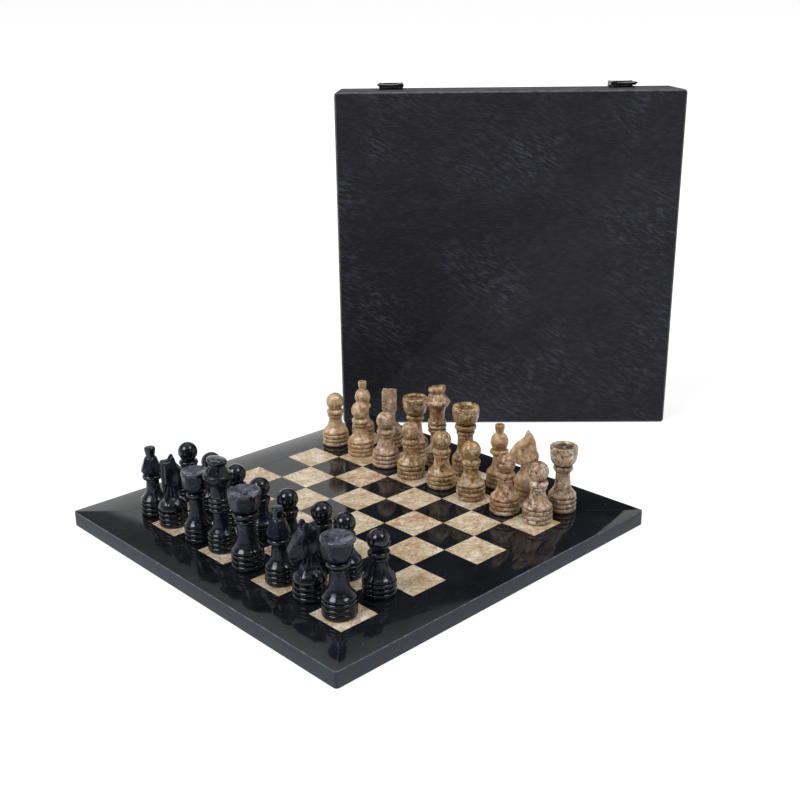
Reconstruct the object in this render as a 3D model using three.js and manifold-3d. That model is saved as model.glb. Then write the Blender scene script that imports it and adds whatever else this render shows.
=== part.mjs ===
// A stone chess set: an inlaid marble board, thirty-two turned pieces and the carrying case that stands behind it.
// Millimetres, +Z up. The origin is the centre of the board's underside, and the case stands towards +Y.
// The board is turned by 45 degrees, so that one of its corners points towards -Y.
import * as THREE from "three";
import { mergeVertices } from "three/addons/utils/BufferGeometryUtils.js";
import Module from "manifold-3d";

const wasm = await Module();
wasm.setup();

// ---- driving dimensions ----
const FIT = 0.3; // clearance between two pieces that touch or are cut to each other
const LONG = 500; // longer than any cut has to be

const SQUARE = 38.1;
const FILES = 8;
const BORDER = 38.1;
const BOARD_THICKNESS = 14.5;
const CORE_THICKNESS = 9;
const INLAY_BED = 0.9; // the bed of mortar that joins the light tiles under the dark ones
const TILE_WEB = 0.4;
const FIELD = FILES * SQUARE;
const BOARD = FIELD + 2 * BORDER;
const BOARD_TURN = Math.PI / 4;

const RING = 4.2; // height of one of the three rings at the foot of each piece
const RING_GROOVE = 0.9;
const KNIGHT_CHEEK = 15; // thickness of a knight's head from side to side

const CASE_SIDE = 380;
const CASE_CORNER = 4;
const CASE_WALL = 8;
const CASE_PANEL = 5;
const BASE_DEPTH = 62;
const LID_DEPTH = 18;
const LID_PANEL = 4;
const LID_GAP = 0.4;
const CASE_X = 158;
const CASE_Y = 276;

const TRAY_DEPTH = 41;
const TRAY_FLOOR = 6;
const CHANNELS = 8;
const CHANNEL_WIDTH = 39.5;
const CHANNEL_LENGTH = 350;
const PAD_THICKNESS = 9;

const HINGE_OFFSET = 124; // from the middle of the case to the middle of each hinge
const HINGE_WIDTH = 60;
const HINGE_MIDDLE = 20; // width of the lid's knuckle, between the two of the base
const LEAF = 1.2;
const LEAF_RECESS = 1.5;
const LID_LEAF_TOP = 24;
const BARREL_RADIUS = 3;
const BARREL_ROOM = 3.4;
const PIN_RADIUS = 1.2;
const BORE_RADIUS = 1.5;

const LATCH_OFFSET = 130;
const LATCH_PIN_Y = 74;
const LATCH_PIN_Z = CASE_SIDE + 3.8;
const LATCH_KNUCKLE = 2.3;
const LATCH_KNUCKLE_HALF = 10;
const LATCH_EAR = 3;

// ---- materials ----
const finish = (color, roughness, metalness = 0) => ({ color, roughness, metalness });
const BLACK_MARBLE = finish(0x1b1d21, 0.2);
const CORAL_STONE = finish(0xb0946c, 0.35);
const CREAM_STONE = finish(0xd8cbb2, 0.3);
const BORDER_STONE = finish(0x3c4048, 0.25);
const CORE_STONE = finish(0x34373c, 0.7);
const LEATHERETTE = finish(0x26262b, 0.6);
const FOAM = finish(0x202024, 0.95);
const VELVET = finish(0x2a2a30, 0.95);
const BLACK_METAL = finish(0x17181a, 0.35, 0.8);
const PLATED_STEEL = finish(0x9a9ca0, 0.3, 0.9);

// ---- solids ----
function solid(geometry) {
  const bare = geometry.clone();
  bare.deleteAttribute("normal");
  bare.deleteAttribute("uv");
  const merged = mergeVertices(bare, 1e-4);
  const vertProperties = merged.attributes.position.array;
  const triVerts = new Uint32Array(merged.index.array);
  return new wasm.Manifold(new wasm.Mesh({ numProp: 3, vertProperties, triVerts }));
}

function geometryOf(body) {
  const mesh = body.getMesh();
  const geometry = new THREE.BufferGeometry();
  geometry.setAttribute("position", new THREE.BufferAttribute(mesh.vertProperties, mesh.numProp));
  geometry.setIndex(new THREE.BufferAttribute(mesh.triVerts, 1));
  geometry.computeVertexNormals();
  return geometry;
}

// The box between two corners.
function block(x0, y0, z0, x1, y1, z1) {
  const geometry = new THREE.BoxGeometry(x1 - x0, y1 - y0, z1 - z0);
  geometry.translate((x0 + x1) / 2, (y0 + y1) / 2, (z0 + z1) / 2);
  return solid(geometry);
}

// A rod along X between x0 and x1, about the line through (y, z).
function rod(radius, x0, x1, y, z, segments = 16) {
  const geometry = new THREE.CylinderGeometry(radius, radius, x1 - x0, segments);
  geometry.rotateZ(-Math.PI / 2);
  geometry.translate((x0 + x1) / 2, y, z);
  return solid(geometry);
}

// An outline of [x, z] points, extruded along Y from y0 to y1.
function profileAlongY(outline, y0, y1) {
  const shape = new THREE.Shape(outline.map(([x, z]) => new THREE.Vector2(x, z)));
  const geometry = new THREE.ExtrudeGeometry(shape, { depth: y1 - y0, bevelEnabled: false });
  geometry.rotateX(Math.PI / 2);
  geometry.translate(0, y1, 0);
  return solid(geometry);
}

// A solid of revolution about Z from [radius, z] points, which start and end on the axis.
function turned(profile, segments) {
  const points = profile.map(([radius, z]) => new THREE.Vector2(radius, z));
  const geometry = new THREE.LatheGeometry(points, segments);
  geometry.rotateX(Math.PI / 2);
  return solid(geometry);
}

function add(parent, name, body, look) {
  const mesh = new THREE.Mesh(geometryOf(body), new THREE.MeshStandardMaterial(look));
  mesh.name = name;
  parent.add(mesh);
  return mesh;
}

// ---- board ----
const isLight = (file, rank) => (file + rank) % 2 === 0;

// Runs over the squares of one colour, with the corner nearest the start of the files and ranks.
function eachSquare(light, visit) {
  for (let file = 0; file < FILES; file++) {
    for (let rank = 0; rank < FILES; rank++) {
      if (isLight(file, rank) !== light) continue;
      visit(rank * SQUARE - FIELD / 2, file * SQUARE - FIELD / 2);
    }
  }
}

// One side of the frame, mitred at both ends, drawn along the edge that faces -Y.
function borderStrip() {
  const outer = BOARD / 2;
  const inner = FIELD / 2 + FIT;
  const mitre = FIT / Math.SQRT2;
  const shape = new THREE.Shape();
  shape.moveTo(-outer + mitre, -outer);
  shape.lineTo(outer - mitre, -outer);
  shape.lineTo(inner - mitre, -inner);
  shape.lineTo(-inner + mitre, -inner);
  shape.closePath();
  return solid(new THREE.ExtrudeGeometry(shape, { depth: BOARD_THICKNESS, bevelEnabled: false }));
}

function darkTiles() {
  const half = FIELD / 2;
  const bottom = CORE_THICKNESS + INLAY_BED + 2 * FIT;
  const plate = block(-half, -half, bottom, half, half, BOARD_THICKNESS);
  const windows = [];
  eachSquare(true, (x, y) => {
    const inset = TILE_WEB / 2;
    const far = SQUARE - inset;
    windows.push(block(x + inset, y + inset, 0, x + far, y + far, LONG));
  });
  return windows.reduce((body, window) => body.subtract(window), plate);
}

function lightTiles() {
  const half = FIELD / 2;
  const bottom = CORE_THICKNESS + FIT;
  let body = block(-half, -half, bottom, half, half, bottom + INLAY_BED);
  eachSquare(true, (x, y) => {
    const inset = TILE_WEB / 2 + FIT;
    const far = SQUARE - inset;
    body = body.add(block(x + inset, y + inset, bottom, x + far, y + far, BOARD_THICKNESS));
  });
  return body;
}

function buildBoard() {
  const board = new THREE.Group();
  board.rotation.z = BOARD_TURN;
  const half = FIELD / 2;
  add(board, "board_core", block(-half, -half, 0, half, half, CORE_THICKNESS), CORE_STONE);
  const sides = ["border_front_left", "border_front_right", "border_back_right", "border_back_left"];
  const turns = [3, 0, 1, 2];
  sides.forEach((name, i) => {
    add(board, name, borderStrip(), BORDER_STONE).rotation.z = (turns[i] * Math.PI) / 2;
  });
  add(board, "dark_tiles", darkTiles(), BLACK_MARBLE);
  add(board, "light_tiles", lightTiles(), CREAM_STONE);
  return board;
}

// ---- pieces ----
// The foot that all pieces share: three rounded rings, each with a groove above it.
function footRings(radius) {
  const points = [
    [0, 0],
    [radius - RING_GROOVE, 0],
  ];
  for (let ring = 0; ring < 3; ring++) {
    points.push([radius, (ring + 0.5) * RING]);
    points.push([radius - RING_GROOVE, (ring + 1) * RING]);
  }
  return points;
}

// Points on a ball of the given radius about height z, between two angles above the horizontal.
function ballArc(radius, z, fromDegrees, toDegrees, steps) {
  return Array.from({ length: steps + 1 }, (_, i) => {
    const angle = THREE.MathUtils.degToRad(fromDegrees + ((toDegrees - fromDegrees) * i) / steps);
    return [Math.max(0, radius * Math.cos(angle)), z + radius * Math.sin(angle)];
  });
}

const PROFILES = {
  pawn: [
    ...footRings(14.2),
    [12.9, 14.6],
    [8.6, 21],
    [6.7, 29],
    [7.6, 33],
    [8.6, 36.4],
    [7, 38.8],
    ...ballArc(9.2, 47, -45, 90, 4),
  ],
  rook: [
    ...footRings(14.4),
    [13.8, 15.4],
    [8.8, 24],
    [7.2, 33],
    [7.6, 39.6],
    [9.9, 43.4],
    [8.2, 47],
    [12.2, 52],
    [13.6, 58],
    [13.9, 64],
    [13, 66.6],
    [8, 65],
    [0, 64.2],
  ],
  bishop: [
    ...footRings(12.9),
    [12.2, 14.8],
    [7.2, 24],
    [5.9, 32],
    [9, 38],
    [6.3, 40.6],
    [9.1, 47.5],
    [8.2, 53.6],
    [3.2, 58.8],
    [4.9, 64],
    [4.2, 66.4],
    [0, 66.5],
  ],
  queen: [
    ...footRings(14.3),
    [13.7, 15.4],
    [9, 24],
    [8.1, 40.6],
    [9.4, 43.4],
    [11.2, 48],
    [8.4, 51.4],
    [12.2, 55.4],
    [13.8, 61],
    [13.9, 66],
    [13, 69.8],
    [8, 68],
    [0, 67],
  ],
  king: [
    ...footRings(13.4),
    [12.4, 15],
    [7.1, 22.6],
    [6.8, 34],
    [9.6, 39],
    [9.5, 48],
    [7.2, 51],
    [8.3, 61],
    [12.9, 70.2],
    [8.8, 75.5],
    [6.2, 79.5],
    [7.8, 83],
    [6.4, 86.2],
    [0, 86.4],
  ],
};
const KNIGHT_BODY = [...footRings(14.4), [14.2, 17.5], [13, 22], [9.2, 26], [0, 27]];

// The side view of a knight's head, as [forward, up] points from the throat round to the back of the neck.
const KNIGHT_HEAD = [
  [9, 20],
  [5.8, 30.5],
  [11, 31],
  [15.4, 33],
  [17.3, 38],
  [17, 43],
  [13.6, 48],
  [10.4, 54],
  [5.6, 58.6],
  [4.8, 65],
  [1.4, 66.8],
  [-1.2, 61.5],
  [-4.4, 65.8],
  [-7.6, 64],
  [-8.6, 45],
  [-8.4, 20],
];

function knight() {
  const half = KNIGHT_CHEEK / 2;
  return turned(KNIGHT_BODY, 12).add(profileAlongY(KNIGHT_HEAD, -half, half));
}

const RANK_OF_SIDE = { black: 0, coral: 7 };
const PAWN_RANK_OF_SIDE = { black: 1, coral: 6 };
const LOOK_OF_SIDE = { black: BLACK_MARBLE, coral: CORAL_STONE };
const HEIGHT_OF_SIDE = {
  black: { pawn: 1, rook: 1, bishop: 1, queen: 1, king: 1, knight: 1 },
  coral: { pawn: 1.03, rook: 0.96, bishop: 0.97, queen: 1.03, king: 1, knight: 1.01 },
};
const HEADING_OF_KNIGHT = { black: [205, 22], coral: [190, 85] }; // degrees from +X, for files b and g

// How each side stands by file: the kind, then how far the hand that set it put it off its square's
// middle, along the files and along the ranks, and its girth against the others of its kind.
const STANDING = {
  black: [
    ["rook", 2, -2, 1],
    ["knight", 1, -1, 1],
    ["bishop", 0, -2, 1],
    ["queen", 2, -5, 1],
    ["king", 6, -2, 0.95],
    ["rook", -2, -6, 0.87],
    ["knight", 4, -4, 0.93],
    ["bishop", -2, -4, 0.98],
  ],
  coral: [
    ["rook", -1, 5, 0.93],
    ["knight", 1, 4, 0.96],
    ["bishop", 1, 5, 1],
    ["queen", 9, 6, 0.96],
    ["king", 6, 1, 0.97],
    ["rook", 5, 6, 0.95],
    ["knight", 4, 4, 0.96],
    ["bishop", 7, 2, 0.97],
  ],
};
const PAWNS_STANDING = {
  black: [[4, 4], [8, 5], [0, 6], [3, 2], [2, 0], [4, 3], [6, 4], [6, 3]],
  coral: [[0, 8], [-4, 2], [2, 3], [3, 3], [5, 0], [6, 2], [10, 5], [13, 5]],
};

function addPiece(board, side, kind, file, rank, along, across, girth) {
  const heading = HEADING_OF_KNIGHT[side][file < 4 ? 0 : 1];
  const body = kind === "knight" ? knight() : turned(PROFILES[kind], kind === "pawn" ? 10 : 12);
  const letter = "abcdefgh"[file];
  const mesh = add(board, `${side}_${kind}_${letter}`, body, LOOK_OF_SIDE[side]);
  const x = (rank + 0.5) * SQUARE - FIELD / 2 + across;
  const y = (file + 0.5) * SQUARE - FIELD / 2 + along;
  mesh.position.set(x, y, BOARD_THICKNESS + FIT);
  mesh.scale.set(girth, girth, HEIGHT_OF_SIDE[side][kind]);
  if (kind === "knight") mesh.rotation.z = THREE.MathUtils.degToRad(heading) - BOARD_TURN;
}

function addPieces(board) {
  for (const side of ["black", "coral"]) {
    STANDING[side].forEach(([kind, along, across, girth], file) => {
      addPiece(board, side, kind, file, RANK_OF_SIDE[side], along, across, girth);
    });
    PAWNS_STANDING[side].forEach(([along, across], file) => {
      addPiece(board, side, "pawn", file, PAWN_RANK_OF_SIDE[side], along, across, 1);
    });
  }
}

// ---- case ----
// A square upright slab with rounded corners, from y0 to y1, whose bottom is at the height `foot`.
function roundedSlab(y0, y1, foot) {
  const half = CASE_SIDE / 2;
  const radius = CASE_CORNER;
  const shape = new THREE.Shape();
  shape.moveTo(-half + radius, foot);
  shape.lineTo(half - radius, foot);
  shape.absarc(half - radius, foot + radius, radius, -Math.PI / 2, 0);
  shape.absarc(half - radius, CASE_SIDE - radius, radius, 0, Math.PI / 2);
  shape.absarc(-half + radius, CASE_SIDE - radius, radius, Math.PI / 2, Math.PI);
  shape.absarc(-half + radius, foot + radius, radius, Math.PI, Math.PI * 1.5);
  const outline = shape.extractPoints(3).shape.map((point) => [point.x, point.y]);
  return profileAlongY(outline, y0, y1);
}

const LID_FRONT = BASE_DEPTH + LID_GAP;
const LID_BACK = LID_FRONT + LID_DEPTH;
const LID_FOOT = CASE_WALL + LID_GAP;
const HINGE_Z = CASE_WALL + LID_GAP / 2;
const INSIDE = CASE_SIDE / 2 - CASE_WALL;

// The room that one hinge takes out of both shells: the leaves' recess and the barrel's groove.
function hingeRoom(x) {
  const half = HINGE_WIDTH / 2 + FIT;
  const leaves = block(x - half, LID_BACK - LEAF_RECESS, 0.9, x + half, LONG, LID_LEAF_TOP + FIT);
  return leaves.add(rod(BARREL_ROOM, x - half, x + half, LID_BACK, HINGE_Z));
}

function baseShell() {
  let body = roundedSlab(0, BASE_DEPTH, 0);
  body = body.subtract(
    block(-INSIDE, CASE_PANEL, CASE_WALL, INSIDE, LONG, CASE_SIDE - CASE_WALL),
  );
  const half = CASE_SIDE / 2;
  const lip = block(-half + CASE_CORNER, BASE_DEPTH - 1, 0, half - CASE_CORNER, LID_BACK, CASE_WALL);
  body = body.add(lip);
  return [-1, 1].reduce((rest, side) => rest.subtract(hingeRoom(side * HINGE_OFFSET)), body);
}

function lidShell() {
  let body = roundedSlab(LID_FRONT, LID_BACK, LID_FOOT);
  const floor = LID_FOOT + CASE_WALL;
  const back = LID_BACK - LID_PANEL;
  body = body.subtract(block(-INSIDE, 0, floor, INSIDE, back, CASE_SIDE - CASE_WALL));
  return [-1, 1].reduce((rest, side) => rest.subtract(hingeRoom(side * HINGE_OFFSET)), body);
}

// The foam tray, with one long channel for each row of four pieces.
function foamTray() {
  const half = INSIDE - FIT;
  const bottom = CASE_WALL + FIT;
  const top = CASE_SIDE - CASE_WALL - FIT;
  const front = CASE_PANEL + FIT;
  const web = (top - bottom - CHANNELS * CHANNEL_WIDTH) / (CHANNELS + 1);
  let body = block(-half, front, bottom, half, front + TRAY_DEPTH, top);
  for (let i = 0; i < CHANNELS; i++) {
    const z = bottom + web + i * (CHANNEL_WIDTH + web);
    const end = CHANNEL_LENGTH / 2;
    body = body.subtract(block(-end, front + TRAY_FLOOR, z, end, LONG, z + CHANNEL_WIDTH));
  }
  return body;
}

function lidPad() {
  const half = INSIDE - 2;
  const back = LID_BACK - LID_PANEL - FIT;
  const bottom = LID_FOOT + CASE_WALL + 2;
  return block(-half, back - PAD_THICKNESS, bottom, half, back, CASE_SIDE - CASE_WALL - 2);
}

function bored(body, x0, x1, y, z) {
  return body.subtract(rod(BORE_RADIUS, x0 - 1, x1 + 1, y, z));
}

function hingeBaseLeaf(x) {
  const half = HINGE_WIDTH / 2;
  const inner = HINGE_MIDDLE / 2 + FIT;
  let body = block(x - half, LID_BACK - LEAF, 1.2, x + half, LID_BACK, HINGE_Z);
  body = body.subtract(rod(BARREL_ROOM, x - inner, x + inner, LID_BACK, HINGE_Z));
  body = body.add(rod(BARREL_RADIUS, x - half, x - inner, LID_BACK, HINGE_Z));
  body = body.add(rod(BARREL_RADIUS, x + inner, x + half, LID_BACK, HINGE_Z));
  return bored(body, x - half, x + half, LID_BACK, HINGE_Z);
}

function hingeLidLeaf(x) {
  const half = HINGE_WIDTH / 2;
  const middle = HINGE_MIDDLE / 2;
  let body = block(x - half, LID_BACK - LEAF, HINGE_Z, x + half, LID_BACK, LID_LEAF_TOP);
  body = body.subtract(rod(BARREL_ROOM, x - half - 1, x - middle, LID_BACK, HINGE_Z));
  body = body.subtract(rod(BARREL_ROOM, x + middle, x + half + 1, LID_BACK, HINGE_Z));
  body = body.add(rod(BARREL_RADIUS, x - middle, x + middle, LID_BACK, HINGE_Z));
  return bored(body, x - half, x + half, LID_BACK, HINGE_Z);
}

function latchKeeper(x) {
  const plate = block(x - 12, 48, CASE_SIDE + FIT, x + 12, 59, CASE_SIDE + 1.3);
  return plate.add(block(x - 9, 50, CASE_SIDE + 1, x + 9, 52, CASE_SIDE + 2));
}

function latchBracket(x) {
  const inner = LATCH_KNUCKLE_HALF + 0.5;
  const outer = inner + LATCH_EAR;
  let body = block(x - outer, 69, CASE_SIDE + FIT, x + outer, 79, CASE_SIDE + 1.2);
  for (const side of [-1, 1]) {
    const from = x + Math.min(side * inner, side * outer);
    const to = from + LATCH_EAR;
    body = body.add(block(from, 71, CASE_SIDE + 0.5, to, 77, CASE_SIDE + 6.2));
  }
  return bored(body, x - outer, x + outer, LATCH_PIN_Y, LATCH_PIN_Z);
}

// The lever's front view: a saddle with a raised inner end and a thin tip that flares outwards.
// `out` is +1 where the outer end is towards +X and -1 where it is towards -X.
function latchLever(x, out) {
  const outline = [
    [-14.5, 2.4],
    [12.6, 2.4],
    [13.4, 3.4],
    [15.4, 5.2],
    [14.8, 5.8],
    [9, 5],
    [0, 4.7],
    [-7, 5.2],
    [-11, 6.2],
    [-13.4, 6.1],
    [-14.6, 4.8],
  ].map(([along, up]) => [x + out * along, CASE_SIDE + up]);
  if (out < 0) outline.reverse();
  let body = profileAlongY(outline, 48, 68);
  const neck = LATCH_KNUCKLE_HALF - 0.3;
  body = body.add(block(x - neck, 67, CASE_SIDE + 2.6, x + neck, LATCH_PIN_Y, CASE_SIDE + 4.4));
  const half = LATCH_KNUCKLE_HALF;
  body = body.add(rod(LATCH_KNUCKLE, x - half, x + half, LATCH_PIN_Y, LATCH_PIN_Z));
  return bored(body, x - half, x + half, LATCH_PIN_Y, LATCH_PIN_Z);
}

function buildCase() {
  const chest = new THREE.Group();
  chest.position.set(CASE_X, CASE_Y, 0);
  add(chest, "case_base_shell", baseShell(), LEATHERETTE);
  add(chest, "case_lid_shell", lidShell(), LEATHERETTE);
  add(chest, "case_foam_tray", foamTray(), FOAM);
  add(chest, "case_lid_pad", lidPad(), VELVET);
  const pinReach = LATCH_KNUCKLE_HALF + 0.5 + LATCH_EAR;
  for (const [side, out] of [["left", -1], ["right", 1]]) {
    const hinge = out * HINGE_OFFSET;
    const half = HINGE_WIDTH / 2;
    add(chest, `hinge_base_leaf_${side}`, hingeBaseLeaf(hinge), PLATED_STEEL);
    add(chest, `hinge_lid_leaf_${side}`, hingeLidLeaf(hinge), PLATED_STEEL);
    const hingePin = rod(PIN_RADIUS, hinge - half, hinge + half, LID_BACK, HINGE_Z, 12);
    add(chest, `hinge_pin_${side}`, hingePin, PLATED_STEEL);
    const latch = out * LATCH_OFFSET;
    add(chest, `latch_keeper_${side}`, latchKeeper(latch), BLACK_METAL);
    add(chest, `latch_bracket_${side}`, latchBracket(latch), BLACK_METAL);
    add(chest, `latch_lever_${side}`, latchLever(latch, out), BLACK_METAL);
    const latchPin = rod(PIN_RADIUS, latch - pinReach, latch + pinReach, LATCH_PIN_Y, LATCH_PIN_Z, 12);
    add(chest, `latch_pin_${side}`, latchPin, BLACK_METAL);
  }
  return chest;
}

const chessSet = new THREE.Group();
const board = buildBoard();
addPieces(board);
chessSet.add(board);
chessSet.add(buildCase());

export default chessSet;
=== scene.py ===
"""The finished look of a stone chess set: its inlaid board, thirty-two turned pieces and carrying case.

Everything is in metres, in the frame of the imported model. Profiles and details are drawn in millimetres
and scaled to metres. The board is turned by 45 degrees, with one corner towards -Y.
"""

import math

import bmesh
import bpy
import numpy as np
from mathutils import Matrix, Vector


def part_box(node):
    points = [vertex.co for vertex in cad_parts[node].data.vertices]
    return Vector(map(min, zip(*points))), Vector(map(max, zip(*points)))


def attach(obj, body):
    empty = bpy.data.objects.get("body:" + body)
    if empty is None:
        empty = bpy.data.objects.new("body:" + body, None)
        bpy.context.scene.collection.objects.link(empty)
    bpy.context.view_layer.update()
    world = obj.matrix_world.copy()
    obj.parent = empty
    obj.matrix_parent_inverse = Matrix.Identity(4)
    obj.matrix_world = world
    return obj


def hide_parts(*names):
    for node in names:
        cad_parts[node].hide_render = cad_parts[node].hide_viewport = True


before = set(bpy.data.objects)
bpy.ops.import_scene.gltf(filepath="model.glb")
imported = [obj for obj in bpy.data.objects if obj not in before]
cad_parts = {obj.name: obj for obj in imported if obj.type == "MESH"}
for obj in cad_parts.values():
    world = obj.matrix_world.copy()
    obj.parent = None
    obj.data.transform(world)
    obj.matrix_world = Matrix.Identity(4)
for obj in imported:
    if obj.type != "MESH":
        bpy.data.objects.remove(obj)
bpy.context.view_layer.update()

import openvdb
from mathutils import Matrix, Vector

MM = 0.001
TAU = 2 * math.pi


# ---------------------------------------------------------------- meshes


def mesh_object(name, vertices, faces, look, body, slot, nodes=(), sharp=None):
    """A new piece from its vertices in metres, which rides on a body and may stand for CAD nodes."""
    mesh = bpy.data.meshes.new(name)
    mesh.from_pydata([tuple(v) for v in vertices], [], [tuple(f) for f in faces])
    mesh.validate()
    return piece_of(name, mesh, look, body, slot, nodes, sharp)


def piece_of(name, mesh, look, body, slot, nodes=(), sharp=None):
    obj = bpy.data.objects.new(name, mesh)
    bpy.context.scene.collection.objects.link(obj)
    for one in look if isinstance(look, (list, tuple)) else [look]:
        mesh.materials.append(one)
    if sharp is not None:
        mesh.shade_smooth()
        mesh.set_sharp_from_angle(angle=math.radians(sharp))
    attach(obj, body)
    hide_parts(*nodes)
    return obj


def float_attribute(mesh, name, values, kind="FLOAT"):
    attribute = mesh.attributes.new(name, kind, "POINT")
    key = "vector" if kind == "FLOAT_VECTOR" else "value"
    attribute.data.foreach_set(key, np.asarray(values, np.float32).ravel())


def smooth_line(points, step=0.5):
    """A smooth line through [radius, height] points, with a new point about every `step` millimetres."""
    p = np.array(points, float)
    p = np.vstack([2 * p[0] - p[1], p, 2 * p[-1] - p[-2]])
    line = []
    for a, b, c, d in zip(p, p[1:], p[2:], p[3:]):
        count = max(2, round(np.linalg.norm(c - b) / step))
        bend = 2 * a - 5 * b + 4 * c - d
        twist = 3 * b - a - 3 * c + d
        for t in np.linspace(0, 1, count, endpoint=False):
            line.append(0.5 * (2 * b + (c - a) * t + bend * t**2 + twist * t**3))
    line.append(p[-2])
    return [tuple(point) for point in line]


def bead(low, high, inner, outer, steps=11):
    """A turned ring, half round in section, between two grooves of radius `inner`."""
    angles = np.linspace(-math.pi / 2, math.pi / 2, steps)
    middle, half = (low + high) / 2, (high - low) / 2
    return [(inner + (outer - inner) * math.cos(a) ** 0.8, middle + half * math.sin(a)) for a in angles]


def ball(radius, height, low_degrees, high_degrees, steps=40):
    angles = np.radians(np.linspace(low_degrees, high_degrees, steps))
    return [(max(0.0, radius * math.cos(a)), height + radius * math.sin(a)) for a in angles]


def revolve(profile, segments=96):
    """Vertices and faces of a solid of revolution, whose profile starts and ends on the axis."""
    profile = np.array(profile, float)
    ring = profile[1:-1]
    angles = np.arange(segments) * TAU / segments
    x = ring[:, 0, None] * np.cos(angles)
    y = ring[:, 0, None] * np.sin(angles)
    z = np.repeat(ring[:, 1, None], segments, axis=1)
    body = np.stack([x, y, z], axis=-1).reshape(-1, 3)
    vertices = np.vstack([body, [0, 0, profile[0, 1]], [0, 0, profile[-1, 1]]])
    bottom, top = len(body), len(body) + 1
    faces = []
    last = (len(ring) - 1) * segments
    for j in range(segments):
        k = (j + 1) % segments
        faces.append((bottom, k, j))
        faces.append((top, last + j, last + k))
        for i in range(len(ring) - 1):
            a, b = i * segments, (i + 1) * segments
            faces.append((a + j, a + k, b + k, b + j))
    return vertices, faces


def chamfered_block(low, high, chamfer):
    """A slab with its four upper edges chamfered: 12 corners and 10 faces."""
    (x0, y0, z0), (x1, y1, z1) = low, high
    c = chamfer
    corners = [(x0, y0), (x1, y0), (x1, y1), (x0, y1)]
    inner = [(x0 + c, y0 + c), (x1 - c, y0 + c), (x1 - c, y1 - c), (x0 + c, y1 - c)]
    vertices = [(x, y, z0) for x, y in corners] + [(x, y, z1 - c) for x, y in corners]
    vertices += [(x, y, z1) for x, y in inner]
    faces = [(3, 2, 1, 0), (8, 9, 10, 11)]
    for a in range(4):
        b = (a + 1) % 4
        faces += [(a, b, 4 + b, 4 + a), (4 + a, 4 + b, 8 + b, 8 + a)]
    return vertices, faces


def merged(parts):
    """Several (vertices, faces) as one."""
    vertices, faces = [], []
    for v, f in parts:
        start = len(vertices)
        vertices += [tuple(p) for p in v]
        faces += [tuple(start + i for i in face) for face in f]
    return vertices, faces


# ---------------------------------------------------------------- materials


def colour(code):
    """Linear RGBA of a colour written as rrggbb."""
    values = [int(code[i : i + 2], 16) / 255 for i in (0, 2, 4)]
    linear = [v / 12.92 if v <= 0.04045 else ((v + 0.055) / 1.055) ** 2.4 for v in values]
    return (*linear, 1.0)


def fill_ramp(node, stops):
    """Gives a colour ramp its stops, each a position with a colour code or a grey level."""
    elements = node.color_ramp.elements
    elements.remove(elements[1])
    for index, (position, code) in enumerate(stops):
        element = elements[0] if index == 0 else elements.new(position)
        element.position = position
        element.color = colour(code) if isinstance(code, str) else (code, code, code, 1.0)


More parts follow.
